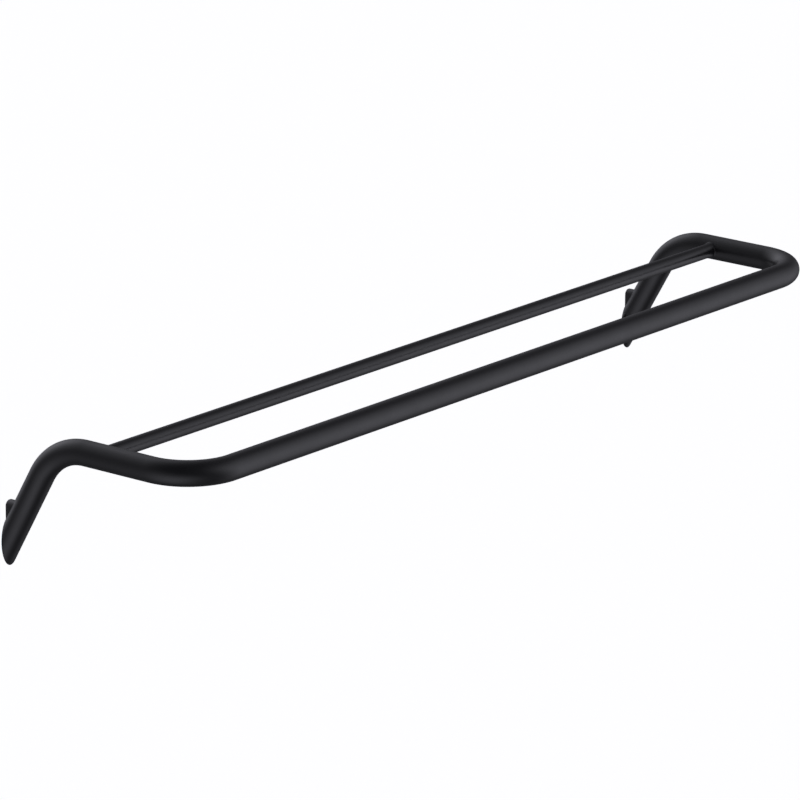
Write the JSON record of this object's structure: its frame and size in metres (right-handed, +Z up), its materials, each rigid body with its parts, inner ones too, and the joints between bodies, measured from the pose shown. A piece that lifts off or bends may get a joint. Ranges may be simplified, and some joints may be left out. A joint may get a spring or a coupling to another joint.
{
  "type": "wall-mounted coat and hanger rack",
  "caption": "Wall-mounted bent-tube rack in satin black: a thick front rail, slanted legs cut flush to the wall and a thinner rear rail for hangers, hooks or towels.",
  "frame": {"origin": "centre of the rectangle of four wall-screw holes, on the wall plane", "axes": "+X along the rails, +Y into the wall, +Z up; the rack stands out from the wall towards -Y"},
  "size_m": [1, 0.244, 0.1423],
  "materials": {
    "coated_tube": "satin black powder coat",
    "coated_bracket": "satin black powder coat",
    "coated_bush": "satin black powder coat",
    "black_screw": "black oxide"
  },
  "bodies": {
    "brackets": {"left_wall_bracket": "coated_bracket", "right_wall_bracket": "coated_bracket"},
    "frame": {"frame_tube": "coated_tube", "rear_rail": "coated_tube", "left_thread_bush": "coated_bush", "right_thread_bush": "coated_bush"},
    "left_screw": {"left_grub_screw": "black_screw"},
    "right_screw": {"right_grub_screw": "black_screw"}
  },
  "joints": [
    {"name": "lift_off", "type": "slide", "parent": "brackets", "child": "frame", "axis": [0, 0, 1], "range_m": [0, 0.008]},
    {"name": "left_screw_travel", "type": "slide", "parent": "frame", "child": "left_screw", "axis": [1, 0, 0], "range_m": [0, 0.003]},
    {"name": "right_screw_travel", "type": "slide", "parent": "frame", "child": "right_screw", "axis": [-1, 0, 0], "range_m": [0, 0.003]}
  ]
}
